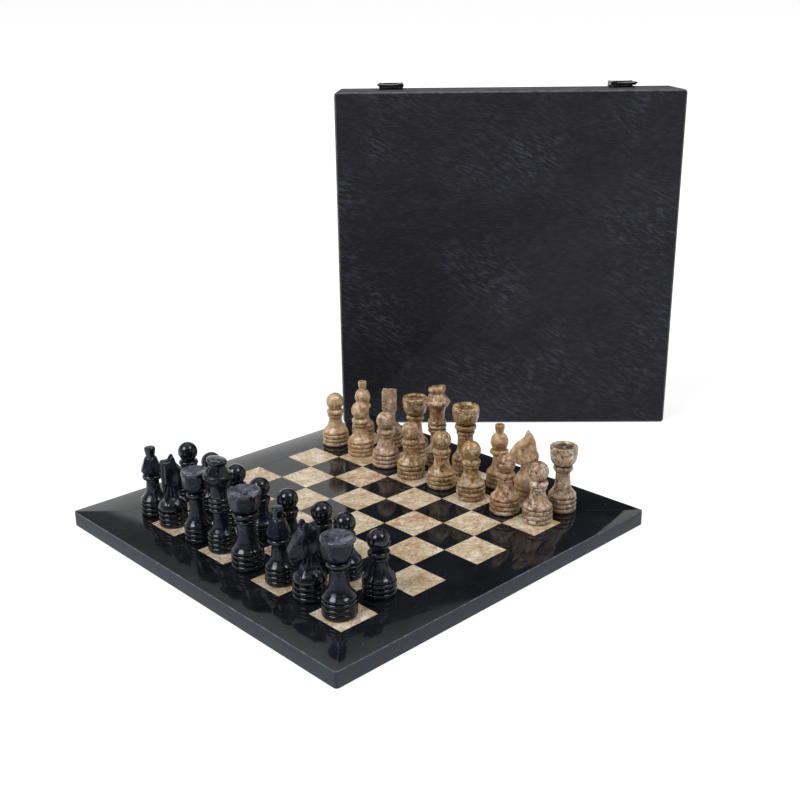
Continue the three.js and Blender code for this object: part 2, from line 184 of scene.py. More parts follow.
class Look:
    """A material being put together: a Principled shader and the nodes that feed it."""

    def __init__(self, name, **sockets):
        self.material = bpy.data.materials.new(name)
        self.material.use_nodes = True
        self.tree = self.material.node_tree
        self.shader = self.tree.nodes["Principled BSDF"]
        for key, value in sockets.items():
            self.set(key.replace("_", " ").title().replace("Ior", "IOR"), value)

    def set(self, socket, value):
        if isinstance(value, bpy.types.NodeSocket):
            self.tree.links.new(value, self.shader.inputs[socket])
        else:
            self.shader.inputs[socket].default_value = value

    def node(self, kind, inputs=None, **settings):
        node = self.tree.nodes.new("ShaderNode" + kind)
        for key, value in settings.items():
            setattr(node, key, value)
        for key, value in (inputs or {}).items():
            if isinstance(value, bpy.types.NodeSocket):
                self.tree.links.new(value, node.inputs[key])
            else:
                node.inputs[key].default_value = value
        return node

    def place(self):
        return self.node("TexCoord").outputs["Object"]

    def shifted(self, attribute):
        """Object coordinates moved by a vector that the mesh carries."""
        shift = self.node("Attribute", attribute_name=attribute).outputs["Vector"]
        return self.node("VectorMath", {0: self.place(), 1: shift}, operation="ADD").outputs[0]

    def carried(self, attribute):
        return self.node("Attribute", attribute_name=attribute).outputs["Fac"]

    def stretched(self, vector, scale):
        return self.node("Mapping", {"Vector": vector, "Scale": scale}).outputs[0]

    def noise(self, vector, scale, detail=4.0, roughness=0.55, distortion=0.0):
        inputs = {"Vector": vector, "Scale": scale, "Detail": detail}
        inputs |= {"Roughness": roughness, "Distortion": distortion}
        return self.node("TexNoise", inputs).outputs["Fac"]

    def swirl(self, vector, scale, amount):
        """Coordinates pushed about by a soft noise, so that a pattern on them flows."""
        push = self.node("TexNoise", {"Vector": vector, "Scale": scale, "Detail": 3.0}).outputs["Color"]
        centred = self.node("VectorMath", {0: push, 1: (0.5, 0.5, 0.5)}, operation="SUBTRACT").outputs[0]
        scaled = self.node("VectorMath", {0: centred, "Scale": amount}, operation="SCALE").outputs[0]
        return self.node("VectorMath", {0: vector, 1: scaled}, operation="ADD").outputs[0]

    def cells(self, vector, scale):
        return self.node("TexVoronoi", {"Vector": vector, "Scale": scale}).outputs["Distance"]

    def cracks(self, vector, scale):
        """The distance to the nearest line of a net of cracks."""
        inputs = {"Vector": vector, "Scale": scale}
        return self.node("TexVoronoi", inputs, feature="DISTANCE_TO_EDGE").outputs["Distance"]

    def ramp(self, value, *stops):
        ramp = self.node("ValToRGB", {"Fac": value})
        fill_ramp(ramp, stops)
        return ramp.outputs["Color"]

    def span(self, value, low, high, to_low, to_high):
        inputs = {"Value": value, "From Min": low, "From Max": high, "To Min": to_low, "To Max": to_high}
        return self.node("MapRange", inputs).outputs[0]

    def mix(self, factor, a, b, blend="MIX"):
        node = self.node("Mix", data_type="RGBA", blend_type=blend)
        for index, value in ((0, factor), (6, a), (7, b)):
            if isinstance(value, bpy.types.NodeSocket):
                self.tree.links.new(value, node.inputs[index])
            else:
                node.inputs[index].default_value = colour(value) if isinstance(value, str) else value
        return node.outputs[2]

    def over(self, base, code, value, *stops):
        """Lays a colour over a base, where a ramp of the value lets it through."""
        return self.mix(self.ramp(value, *stops), base, code)

    def sum(self, a, b):
        return self.node("Math", {0: a, 1: b}, operation="ADD").outputs[0]

    def times(self, a, b):
        return self.node("Math", {0: a, 1: b}, operation="MULTIPLY").outputs[0]

    def finish(self, value, stops, roughness, grain, strength, distance):
        """One noise gives a plain material its colours and its roughness, and a grain gives its bump."""
        self.set("Base Color", self.ramp(value, *stops))
        self.rough(value, *roughness)
        self.bump(grain, strength, distance)
        return self.material

    def rough(self, value, low, high):
        """Roughness from low to high as a noise goes over its middle range."""
        self.set("Roughness", self.span(value, 0.3, 0.7, low, high))

    def bump(self, height, strength, distance):
        inputs = {"Height": height, "Strength": strength, "Distance": distance}
        previous = self.shader.inputs["Normal"].links
        if previous:
            inputs["Normal"] = previous[0].from_socket
        self.set("Normal", self.node("Bump", inputs).outputs[0])


def black_onyx():
    """Polished black marble with a bluish cast: rings shine, ground faces are satin, and the tops carry a
    painted pale sheen and are rougher.
    """
    look = Look("black_onyx", specular_tint=(0.84, 0.91, 1.0, 1.0))
    place = look.place()
    cloud = look.noise(look.swirl(place, 60, 0.01), 90, 5, 0.6)
    dark = look.ramp(cloud, (0.3, "07080a"), (0.6, "0d0f13"), (0.85, "1c1f26"))
    rubbed = look.ramp(cloud, (0.3, "0b0d15"), (0.6, "151823"), (0.85, "242837"))
    satin = look.carried("satin")
    veins = look.ramp(look.cracks(look.swirl(place, 45, 0.02), 48), (0.0, 1.0), (0.02, 0.0))
    rare = look.ramp(look.noise(place, 30, 2), (0.58, 0.0), (0.68, 0.8))
    base = look.mix(look.times(veins, rare), look.mix(satin, dark, rubbed), "5b606b")
    chips = look.noise(look.swirl(place, 300, 0.004), 420, 3, 0.7)
    base = look.over(base, "6f7480", chips, (0.60, 0.0), (0.70, 0.35))
    # Painted sheen: the tops of rooks, queens and kings are mixed towards a pale blue-grey for the light
    # falling on them from above; they are also made rougher.
    top_sheen_mottle = look.ramp(look.noise(look.swirl(place, 150, 0.006), 240, 5, 0.7), (0.38, 0.1), (0.62, 1.0))
    crown = look.times(look.carried("crown"), top_sheen_mottle)
    look.set("Base Color", look.mix(crown, base, "525866"))
    look.set("Specular IOR Level", look.span(satin, 0, 1, 0.5, 0.26))
    smear = look.span(look.noise(place, 160, 4, 0.6), 0.3, 0.7, -0.03, 0.08)
    gloss = look.sum(look.span(satin, 0, 1, 0.08, 0.20), smear)
    look.set("Roughness", look.sum(gloss, look.span(crown, 0, 1, 0.0, 0.16)))
    look.bump(look.noise(place, 420, 3, 0.6), 0.14, 0.0004)
    look.bump(look.noise(place, 90, 2), 0.12, 0.0012)
    return look.material


# Dark vein (also the painted shade and stain in the grooves), reddish brown, body, pale cloud; then the level
# of the dark speckle and the share of the net.
CORAL_TONES = {
    "tan": ("5a3c20", "966b3d", "c0a078", "ebe0c9", 0.66, 0.35),
    "honey": ("573c20", "93693a", "ba9b6d", "e8dabc", 0.65, 0.45),
    "umber": ("342414", "7e572b", "b19063", "e4d6b8", 0.57, 0.8),
    "speckled": ("33241c", "7e5a40", "b99d80", "efe5d6", 0.57, 1.0),
    "russet": ("3a2418", "824f2e", "b3906d", "e8d8c0", 0.57, 0.9),
    "rose": ("4a3124", "8b6246", "bfa184", "efe2cf", 0.60, 0.7),
}


def coral_stone(tone):
    """Fossil coral: tan stone with reddish-brown patches, pale clouds, flowing bands and a dark net."""
    deep, brown, body, pale, speckle, netted = CORAL_TONES[tone]
    look = Look("coral_" + tone)
    place = look.place()
    flow = look.swirl(place, 38, 0.028)
    cloud = look.noise(flow, 95, 6, 0.66)
    base = look.ramp(cloud, (0.30, brown), (0.46, body), (0.56, body), (0.70, pale))
    patch = look.noise(look.swirl(place, 70, 0.012), 62, 4, 0.6)
    base = look.over(base, brown, patch, (0.48, 0.0), (0.62, 0.8))
    bands = look.node("TexWave", {"Vector": flow, "Scale": 46.0, "Distortion": 9.0, "Detail": 3.0})
    base = look.over(base, brown, bands.outputs["Fac"], (0.0, 0.6), (0.24, 0.0))
    milk = look.noise(look.swirl(place, 120, 0.008), 170, 4, 0.6)
    base = look.over(base, pale, milk, (0.50, 0.0), (0.66, 0.62))
    chips = look.noise(look.swirl(place, 260, 0.004), 330, 3, 0.7)
    base = look.over(base, deep, chips, (speckle, 0.0), (speckle + 0.05, 1.0))
    net = look.ramp(look.cracks(look.swirl(place, 300, 0.005), 300), (0.0, netted), (0.10, 0.0))
    patchy = look.ramp(look.noise(look.swirl(place, 90, 0.01), 120, 4, 0.6), (0.40, 0.0), (0.58, 1.0))
    base = look.mix(look.times(net, patchy), base, deep)
    # The grooves of the turned rings are darkened towards the dark vein colour: partly painted shade, partly
    # stain.
    groove_shade_and_stain = look.times(look.carried("hollow"), look.span(look.noise(place, 90, 3), 0.3, 0.7, 0.4, 1.0))
    look.set("Base Color", look.mix(groove_shade_and_stain, base, deep))
    look.rough(look.noise(place, 140, 4), 0.22, 0.42)
    look.bump(chips, 0.30, 0.0004)
    look.bump(look.noise(place, 110, 3), 0.12, 0.0010)
    return look.material


def cream_tile():
    """Cream marble with orange-brown veins; each tile is cut from another place in the stone."""
    look = Look("cream_marble")
    place = look.shifted("shift")
    cloud = look.noise(look.swirl(place, 45, 0.03), 60, 5, 0.6)
    base = look.ramp(cloud, (0.28, "a98f6b"), (0.44, "c3ae8f"), (0.58, "d4c6ae"), (0.74, "e9e0d1"))
    rust = look.noise(look.swirl(place, 90, 0.02), 46, 5, 0.65)
    base = look.over(base, "a5784a", look.sum(rust, look.carried("tone")), (0.58, 0.0), (0.72, 0.75))
    base = look.over(base, "7c5a34", look.cracks(look.swirl(place, 70, 0.02), 70), (0.0, 0.55), (0.035, 0.0))
    streak = look.noise(look.swirl(look.stretched(place, (1.0, 2.6, 1.0)), 60, 0.02), 150, 5, 0.7)
    base = look.over(base, "9c7444", streak, (0.52, 0.0), (0.68, 0.55))
    base = look.over(base, "f4ece0", streak, (0.32, 0.7), (0.46, 0.0))
    base = look.over(base, "6b4e31", look.noise(place, 420, 3, 0.7), (0.56, 0.0), (0.66, 0.75))
    look.set("Base Color", base)
    look.rough(look.noise(place, 120, 4), 0.14, 0.28)
    look.bump(look.noise(place, 260, 3), 0.06, 0.0004)
    return look.material


def black_marble(name, shifted):
    """Black marble polished to a mirror, with a few hairline veins."""
    look = Look(name)
    place = look.shifted("shift") if shifted else look.place()
    cloud = look.noise(look.swirl(place, 25, 0.05), 30, 5, 0.6)
    base = look.ramp(cloud, (0.35, "0e1013"), (0.7, "1b1e23"))
    vein = look.ramp(look.cracks(look.swirl(place, 18, 0.06), 14), (0.0, 0.16), (0.005, 0.0))
    rare = look.ramp(look.noise(place, 20, 2), (0.60, 0.0), (0.68, 1.0))
    base = look.mix(look.times(vein, rare), base, "7d8086")
    base = look.over(base, "7b7f86", look.noise(place, 520, 2, 0.5), (0.74, 0.0), (0.78, 0.6))
    look.set("Base Color", base)
    look.set("Roughness", look.span(look.noise(place, 60, 5, 0.65), 0.35, 0.7, 0.04, 0.12))
    look.bump(look.noise(place, 24, 2), 0.05, 0.0010)
    return look.material


def honed_edge():
    """The sawn and rubbed sides of the board, matt and blue-grey."""
    look = Look("honed_edge", specular_ior_level=0.35)
    place = look.place()
    cloud = look.noise(look.swirl(place, 30, 0.03), 55, 6, 0.7)
    base = look.ramp(cloud, (0.3, "1c2028"), (0.5, "232832"), (0.75, "303642"))
    scratch = look.noise(look.stretched(place, (1.0, 1.0, 14.0)), 70, 4, 0.6)
    base = look.mix(look.span(scratch, 0.4, 0.75, 0.0, 0.35), base, "3d4350")
    base = look.over(base, "171a20", look.noise(place, 480, 3, 0.6), (0.60, 0.0), (0.72, 0.5))
    look.set("Base Color", base)
    look.rough(cloud, 0.5, 0.7)
    look.bump(look.noise(place, 380, 4, 0.6), 0.35, 0.0005)
    return look.material


def painted_arris_highlight():
    """The rounded upper edge of the board, painted paler as a highlight along the edge."""
    look = Look("painted_arris_highlight", specular_ior_level=0.4)
    wear_and_sheen = look.noise(look.place(), 130, 5, 0.7)
    # Painted highlight: the arris is coloured paler than the black top, for the light it catches.
    stops = (0.3, "30343d"), (0.5, "4a4f59"), (0.7, "6c717b")
    return look.finish(wear_and_sheen, stops, (0.35, 0.6), wear_and_sheen, 0.4, 0.0005)


def core_stone():
    look = Look("core_stone")
    place = look.place()
    cloud = look.noise(place, 45, 6, 0.7)
    stops = (0.3, "2b2e33"), (0.7, "44474d")
    return look.finish(cloud, stops, (0.6, 0.8), look.noise(place, 300, 4), 0.4, 0.0006)


def leatherette():
    """Black grained leatherette on board: fine grain, slanting wrinkles whose ridges carry a painted
    highlight, and paler, rubbed edges.
    """
    look = Look("leatherette", specular_ior_level=0.22)
    place = look.place()
    cloud = look.noise(look.stretched(place, (1.0, 1.0, 2.5)), 9, 5, 0.6)
    base = look.ramp(cloud, (0.3, "0b0b11"), (0.55, "11121a"), (0.8, "1a1b25"))
    weave = look.noise(look.stretched(place, (0.16, 1.0, 1.0)), 700, 3, 0.7)
    base = look.over(base, "31323f", weave, (0.5, 0.0), (0.72, 0.5))
    leaning = look.node("Mapping", {"Vector": place, "Rotation": (0.0, -0.45, 0.0)}).outputs[0]
    wrinkle = look.noise(look.swirl(look.stretched(leaning, (0.22, 1.0, 1.0)), 60, 0.006), 420, 3, 0.6)
    slack = look.ramp(look.noise(place, 11, 2), (0.44, 0.0), (0.62, 1.0))
    ridge = look.times(look.ramp(wrinkle, (0.50, 0.0), (0.64, 1.0)), slack)
    # Painted highlight: the ridges of the wrinkles are coloured paler for the light they catch; the bump below
    # gives them their real relief.
    base = look.mix(look.times(ridge, 0.65), base, "3d3e4d")
    patchy = look.span(look.noise(place, 90, 5, 0.7), 0.35, 0.65, 0.35, 1.0)
    look.set("Base Color", look.mix(look.times(look.carried("worn"), patchy), base, "86868b"))
    look.rough(look.noise(place, 35, 4), 0.44, 0.60)
    look.bump(weave, 0.30, 0.0003)
    look.bump(ridge, 0.45, 0.0004)
    look.bump(look.cells(look.swirl(place, 500, 0.002), 900), 0.20, 0.0003)
    folds = look.noise(look.stretched(place, (0.6, 1.0, 3.4)), 75, 5, 0.6, 1.2)
    look.bump(folds, 0.55, 0.0016)
    crease = look.cracks(look.swirl(look.stretched(place, (1.0, 1.0, 1.6)), 22, 0.06), 45)
    look.bump(look.span(crease, 0.0, 0.05, 0.0, 1.0), 0.22, 0.0008)
    return look.material


def tray_foam():
    look = Look("tray_foam", specular_ior_level=0.2, sheen_weight=0.2)
    pores = look.cells(look.place(), 700)
    look.set("Base Color", look.ramp(pores, (0.1, "0e0e10"), (0.6, "26262a")))
    look.set("Roughness", look.span(pores, 0.1, 0.6, 0.9, 1.0))
    look.bump(pores, 0.5, 0.0006)
    return look.material


def lid_velvet():
    look = Look("lid_velvet", specular_ior_level=0.2, sheen_weight=0.6, sheen_roughness=0.4)
    place = look.place()
    nap = look.noise(place, 40, 4, 0.6)
    stops = (0.3, "141418"), (0.7, "2b2b32")
    return look.finish(nap, stops, (0.8, 0.95), look.noise(place, 1400, 3), 0.4, 0.0003)


def black_metal():
    look = Look("black_metal", metallic=0.6)
    place = look.place()
    wear_and_sheen = look.noise(place, 300, 4, 0.6)
    stops = (0.35, "0d0d0f"), (0.75, "26272a")
    return look.finish(wear_and_sheen, stops, (0.28, 0.42), look.noise(place, 900, 3), 0.08, 0.0002)


def plated_steel():
    look = Look("plated_steel", metallic=1.0)
    grain = look.noise(look.stretched(look.place(), (0.08, 1.0, 1.0)), 900, 3, 0.6)
    stops = (0.3, "8b8d90"), (0.7, "b9bbbe")
    return look.finish(grain, stops, (0.22, 0.36), grain, 0.08, 0.0002)


# ---------------------------------------------------------------- board

FILES = 8
BOARD_TURN = Matrix.Rotation(math.radians(45), 4, "Z")
CORE_LOW, CORE_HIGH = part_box("board_core")
FIELD = (CORE_HIGH.x - CORE_LOW.x) / math.sqrt(2)
SQUARE = FIELD / FILES
CORE_TOP = CORE_HIGH.z
BOARD_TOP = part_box("dark_tiles")[1].z
BOARD = -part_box("border_front_left")[0].x * math.sqrt(2)
TILE_JOINT = 0.12 * MM
TILE_CHAMFER = 0.10 * MM
TILE_SINK = 0.02  # in millimetres, how far a tile may lie below the top
TILE_SHIFT = 3  # how far off in the stone a tile may be cut from
TILE_TONES = (-0.14, 0.12)
ARRIS = 0.7 * MM
TOP_FACE, SIDE_FACE, ARRIS_FACE = 0, 1, 2
CORNER_RADIUS = 3.0 * MM
MITRE_GAP = 0.10 * MM
MITRE_FILLER = 0.35 * MM
FILLER_DEPTH, FILLER_RISE = 0.6 * MM, 0.03 * MM


def tiles(name, light, look, slot, seed):
    """The squares of one colour: separate slabs with hairline joints, each with its own stretch of stone."""
    rng = np.random.default_rng(seed)
    parts, shifts, tones = [], [], []
    for file in range(FILES):
        for rank in range(FILES):
            if ((file + rank) % 2 == 0) != light:
                continue
            x, y = rank * SQUARE - FIELD / 2, file * SQUARE - FIELD / 2
            lift = rng.uniform(-TILE_SINK, 0.0) * MM
            low = (x + TILE_JOINT, y + TILE_JOINT, CORE_TOP + TILE_JOINT)
            high = (x + SQUARE - TILE_JOINT, y + SQUARE - TILE_JOINT, BOARD_TOP + lift)
            part = chamfered_block(low, high, TILE_CHAMFER)
            corners = len(part[0])
            parts.append(part)
            shifts += [rng.uniform(-TILE_SHIFT, TILE_SHIFT, 3)] * corners
            tones += [rng.uniform(*TILE_TONES)] * corners
    vertices, faces = merged(parts)
    turned = [BOARD_TURN @ Vector(v) for v in vertices]
    obj = mesh_object(name, turned, faces, look, "board", slot, [name])
    float_attribute(obj.data, "shift", shifts, "FLOAT_VECTOR")
    float_attribute(obj.data, "tone", tones)


def border_outline():
    """One side of the frame along -Y, counter-clockwise, with half of each rounded outer corner."""
    outer, inner, r = BOARD / 2, FIELD / 2 + TILE_JOINT, CORNER_RADIUS
    arc = [math.radians(a) for a in (225, 240, 255, 270)]
    left = [(-outer + r + r * math.cos(a), -outer + r + r * math.sin(a)) for a in arc]
    right = [(-x, y) for x, y in reversed(left)]
    outline = left + right + [(inner, -inner), (-inner, -inner)]
    return [(x - math.copysign(MITRE_GAP, x), y) for x, y in outline]


def border_side(name, turns, looks):
    outline = border_outline()
    bm = bmesh.new()
    face = bm.faces.new([bm.verts.new((x, y, 0)) for x, y in outline])
    made = bmesh.ops.extrude_face_region(bm, geom=[face])
    top = [v for v in made["geom"] if isinstance(v, bmesh.types.BMVert)]
    bmesh.ops.translate(bm, verts=top, vec=(0, 0, BOARD_TOP))
    bmesh.ops.recalc_face_normals(bm, faces=bm.faces)
    outside = FIELD / 2 + SQUARE / 2

    def on_rim(edge):
        level = abs(edge.verts[0].co.z - edge.verts[1].co.z) < 1e-7
        return level and all(v.co.y < -outside for v in edge.verts) and len(edge.link_faces) == 2

    def is_mitre(face):
        x, y, z = (abs(value) for value in face.normal)
        return abs(x - y) < 1e-3 and z < 0.1

    rim = [e for e in bm.edges if on_rim(e) and not any(is_mitre(f) for f in e.link_faces)]
    bmesh.ops.bevel(bm, geom=rim, offset=ARRIS, segments=2, profile=0.5, affect="EDGES")
    for face in bm.faces:
        if face.normal.z > 0.98:
            face.material_index = TOP_FACE
        elif face.normal.z > 0.2:
            face.material_index = ARRIS_FACE
        else:
            face.material_index = SIDE_FACE
    mesh = bpy.data.meshes.new(name)
    bm.to_mesh(mesh)
    bm.free()
    mesh.transform(BOARD_TURN @ Matrix.Rotation(turns * math.pi / 2, 4, "Z"))
    piece_of("fine_" + name, mesh, looks, "board", "border_marble", [name], sharp=35)


def mitre_filler(name, turns, look):
    """The pale filler in the mitre at the first end of a side of the frame."""
    outer, inner, half = BOARD / 2 - CORNER_RADIUS / 3, FIELD / 2, MITRE_FILLER / 2
    along = Vector((-1, -1, 0)) / math.sqrt(2)
    across = Vector((-along.y, along.x, 0)) * half
    ends = [along * outer * math.sqrt(2), along * inner * math.sqrt(2)]
    base = [ends[0] - across, ends[0] + across, ends[1] + across, ends[1] - across]
    levels = (BOARD_TOP - FILLER_DEPTH, BOARD_TOP + FILLER_RISE)
    vertices = [Vector((p.x, p.y, z)) for z in levels for p in base]
    faces = [(3, 2, 1, 0), (4, 5, 6, 7)]
    faces += [(i, (i + 1) % 4, 4 + (i + 1) % 4, 4 + i) for i in range(4)]
    turn = BOARD_TURN @ Matrix.Rotation(turns * math.pi / 2, 4, "Z")
    corner = name.replace("border", "mitre")
    mesh_object(corner, [turn @ v for v in vertices], faces, look, "board", "border_marble")


def build_board():
    tiles("dark_tiles", False, black_marble("black_tile", True), "black_marble", 11)
    tiles("light_tiles", True, cream_tile(), "cream_marble", 23)
    looks = [black_marble("border_top", False), honed_edge(), painted_arris_highlight()]
    sides = {"border_front_left": 3, "border_front_right": 0, "border_back_right": 1, "border_back_left": 2}
    for name, turns in sides.items():
        border_side(name, turns, looks)
        mitre_filler(name, turns, looks[1])
    dress("board_core", core_stone())


def dress(node, look, bevel=None):
    """A CAD node that stays as it is, with a material and, on hardware, a small bevel on its edges."""
    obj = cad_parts[node]
    obj.data.materials.clear()
    obj.data.materials.append(look)
    if bevel:
        edge = obj.modifiers.new("edges", "BEVEL")
        edge.width = bevel
        edge.segments = 2
        edge.angle_limit = math.radians(40)


# ---------------------------------------------------------------- pieces


def foot(radius, ring, groove=1.7):
    """The foot that all pieces share: three rounded rings, each with a groove above it."""
    inner = radius - groove
    rings = [bead(i * ring, (i + 1) * ring, inner, radius) for i in range(3)]
    return [(0, 0), *rings[0], *rings[1], *rings[2]]


# The outline of each kind, as [radius, height] points in millimetres from the foot up to the axis.
PAWN = (
    foot(14.2, 4.3)
    + smooth_line([(12.5, 13), (13.5, 13.8), (13.3, 15.4), (11.2, 17.6), (8.9, 20.8), (7.4, 25), (6.9, 29.8)])
    + bead(30.2, 33.4, 6.9, 8.2)
    + bead(33.5, 38.2, 7.2, 9.2)
    + ball(9.4, 46.8, -52, 90)
)
ROOK = (
    foot(14.6, 4.7)
    + smooth_line([(12.9, 14.2), (14, 15.2), (14, 16.8), (11.6, 19.6), (8.9, 24), (7.5, 33), (7.4, 39.6)])
    + smooth_line([(7.4, 39.8), (8.3, 40.4), (9.8, 42.4), (10.1, 44), (9.4, 45.8), (7.2, 46.8)])
    + smooth_line([(7.2, 47), (9.2, 47.6), (11.6, 49.8), (13, 53), (13.7, 56.6), (14.1, 60), (14.2, 63.2)])
    + smooth_line([(14.2, 63.4), (14.1, 65.2), (13.2, 66.4), (11.8, 66.4), (7, 65), (2.4, 64.3)])
    + smooth_line([(2.3, 64.3), (1.8, 65.2), (0.9, 65.7), (0, 65.8)])
)
BISHOP_BODY = (
    foot(12.9, 4.6)
    + smooth_line([(11.2, 13.9), (12.3, 14.7), (12.1, 16.2), (9.6, 18.8), (7.3, 22.6), (6.2, 30), (6.3, 34.8)])
    + bead(35, 39.8, 6.3, 9.3)
)
BISHOP = {
    "black": BISHOP_BODY
    + smooth_line([(6.2, 40.1), (8.6, 41.6), (10.2, 44.2), (10.2, 46.4), (9.5, 50), (7.6, 54), (4.8, 57)])
    + smooth_line(
        [(4.5, 57.2), (4.3, 58.4), (4.6, 60.4), (5.1, 63.2), (5.2, 65), (4.6, 66.2), (2.4, 66.5), (0, 66.5)]
    ),
    "coral": BISHOP_BODY
    + smooth_line([(6.2, 40.2), (7.8, 43.2)])
    + ball(9, 48.6, -28, 62)
    + smooth_line(
        [(4, 57), (3.7, 58.4), (4.2, 59.8), (4.6, 62.4), (4.7, 65.2), (4.1, 66.4), (2.2, 66.6), (0, 66.6)]
    ),
}
QUEEN = (
    foot(14.3, 4.8)
    + smooth_line([(12.7, 14.5), (13.8, 15.5), (13.6, 17.2), (11.2, 20), (9.2, 24.4), (8.3, 31), (8.1, 40.6)])
    + bead(40.8, 44.4, 7.9, 9.6)
    + smooth_line([(8.4, 44.5), (10.6, 46.2), (11.4, 48.2), (10.8, 50.2), (8, 51.5)])
    + smooth_line([(8, 51.7), (10.2, 52.4), (12.4, 54.8), (13.5, 58.4), (14.1, 62.4), (14.3, 66.6)])
    + smooth_line([(14.2, 66.8), (14, 68.7), (13, 69.7), (11.4, 69.3), (6, 67.2), (3.2, 66.7)])
    + smooth_line([(3.1, 66.7), (2.6, 68.2), (1.4, 69.2), (0, 69.5)])
)
KING = (
    foot(13.3, 4.8)
    + smooth_line([(11.7, 14.5), (12.8, 15.5), (12.4, 17.2), (9.4, 19.8), (7.5, 22.8), (6.9, 28), (7, 36)])
    + bead(36.2, 40.8, 7, 9.6)
    + bead(40.9, 45.4, 7.6, 9.9)
    + bead(45.5, 50, 7.6, 9.9)
    + smooth_line([(7.8, 50.2), (7.7, 53), (8.1, 58.5), (9.4, 63.2), (12.4, 66.8), (13.6, 68.9)])
    + smooth_line([(13.6, 69.1), (13.3, 70.6), (11.8, 72.2), (9.8, 75), (8.2, 77.6), (7.4, 79.2)])
    + smooth_line([(7.4, 79.4), (8.2, 80.2), (9, 81.8), (9.1, 83.6), (8.2, 85), (4.6, 85.9), (0, 86.1)])
)
PROFILES = {"pawn": PAWN, "rook": ROOK, "queen": QUEEN, "king": KING}

# Faces ground flat on the turned form: how many, from which height to which, and the distance of the
# face from the axis at both heights.
GROUND = {
    "rook": [(5, 48.0, 62.8, 11.7, 12.4)],
    "bishop": [(6, 43.4, 57.2, 10.1, 5.2)],
    "queen": [(6, 52.8, 65.8, 11.6, 12.5)],
    "king": [(6, 72.0, 78.8, 10.0, 7.0), (6, 56.0, 68.4, 7.9, 11.8)],
}
GROUND_SHARE = {"black": 1.0, "coral": 0.35}  # the coral pieces are worked round, with soft faces
# The heights between which the surface is satin.
SATIN = {
    "pawn": [(18, 30.5)],
    "rook": [(20, 39.6), (47, 63)],
    "bishop": [(18.5, 35), (41, 57)],
    "queen": [(20, 40), (52, 66)],
    "king": [(19, 36.4), (51, 72)],
}
SATIN_FADE = 1.5
CROWNED = ("rook", "queen", "king")  # the kinds whose top gets a painted pale sheen and a rougher finish
CROWN_DEPTH, CROWN_FADE = 1.8, 0.9
# A groove's depth is measured against the outline this far above and below it.
GROOVE_REACH = 1.1
GROOVE_LEAST, GROOVE_RANGE = 0.25, 0.7
TURNED_RADIUS = {"pawn": 14.2, "rook": 14.6, "bishop": 12.9, "queen": 14.3, "king": 13.3}
NOTCHES, NOTCH_FLOOR, NOTCH_DEPTH, NOTCH_WIDTH = 6, 66, 1.3, 2.2
CAP_LEVEL, CAP_SLOPE = 78.0, -0.15


def grind(vertices, kind, turn, share):
    """Cuts the flat faces of a kind into its turned form, `share` of their full depth."""
    x, y, z = vertices.T
    radius, angle = np.hypot(x, y), np.arctan2(y, x)
    for count, low, high, near, far in GROUND.get(kind, []):
        sector = TAU / count
        off = (angle - turn + sector / 2) % sector - sector / 2
        flat = (near + (far - near) * (z - low) / (high - low)) / np.cos(off)
        cut_off = (z > low) & (z < high) & (radius > flat)
        radius = np.where(cut_off, radius + (flat - radius) * share, radius)
    return np.stack([radius * np.cos(angle), radius * np.sin(angle), z], axis=1)


def notch_rim(vertices, turn):
    """The queen's coronet: a V filed into the rim between each two faces."""
    x, y, z = vertices.T
    angle, radius = np.arctan2(y, x), np.hypot(x, y)
    sector = TAU / NOTCHES
    off = np.abs((angle - turn) % sector - sector / 2)
    notch = np.clip(1 - off * radius / NOTCH_WIDTH, 0, 1) * np.clip((radius - 8) / 4, 0, 1)
    drop = NOTCH_DEPTH * notch * np.clip((z - NOTCH_FLOOR) / 2, 0, 1)
    return np.stack([x, y, np.where(z > NOTCH_FLOOR, z - drop, z)], axis=1)


def tilt_top(vertices, turn):
    """The king's cap leans: heights over a level are sheared along one direction."""
    x, y, z = vertices.T
    lean = np.clip((z - CAP_LEVEL) / 3, 0, 1) * CAP_SLOPE
    z = z + lean * (x * math.cos(turn) + y * math.sin(turn))
    return np.stack([x, y, z], axis=1)


def hollow_share(profile, z):
    """How deep each height lies in a turned groove, from 0 to 1: the coral is darkened there, as painted shade
    and stain.
    """
    radius, height = np.array(profile).T
    order = np.argsort(height, kind="stable")
    radius, height = radius[order], height[order]

    def at(level):
        return np.interp(level, height, radius)

    depth = (at(z - GROOVE_REACH) + at(z + GROOVE_REACH)) / 2 - at(z)
    return np.clip((depth - GROOVE_LEAST) / GROOVE_RANGE, 0, 1)


def crown_share(kind, profile, z):
    """The top of a piece that gets a painted pale sheen: its rim, and all of the dish inside the rim."""
    if kind not in CROWNED:
        return np.zeros(len(z))
    heights = np.array(profile)[:, 1]
    inside = np.arange(len(heights)) > heights.argmax()
    rings = np.repeat(inside[1:-1], (len(z) - 2) // (len(heights) - 2))
    rim = np.clip((z - heights.max() + CROWN_DEPTH) / CROWN_FADE, 0, 1)
    return np.maximum(rim, [*rings, False, True])


def satin_share(kind, z):
    share = np.zeros(len(z))
    for low, high in SATIN[kind]:
        share = np.maximum(share, np.clip(np.minimum(z - low, high - z) / SATIN_FADE + 0.5, 0, 1))
    return share


def cad_points(node):
    return np.array([v.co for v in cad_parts[node].data.vertices])


def standing(node):
    """Where a CAD piece stands: the middle of its foot, its radius at the foot and its height."""
    points = cad_points(node)
    low, high = points[:, 2].min(), points[:, 2].max()
    base = points[points[:, 2] < low + 0.3 * MM]
    middle = (base.min(0) + base.max(0)) / 2
    lower = points[points[:, 2] < low + (high - low) / 5]
    radius = np.hypot(*(lower[:, :2] - middle[:2]).T).max()
    return Vector((middle[0], middle[1], low)), radius, high - low


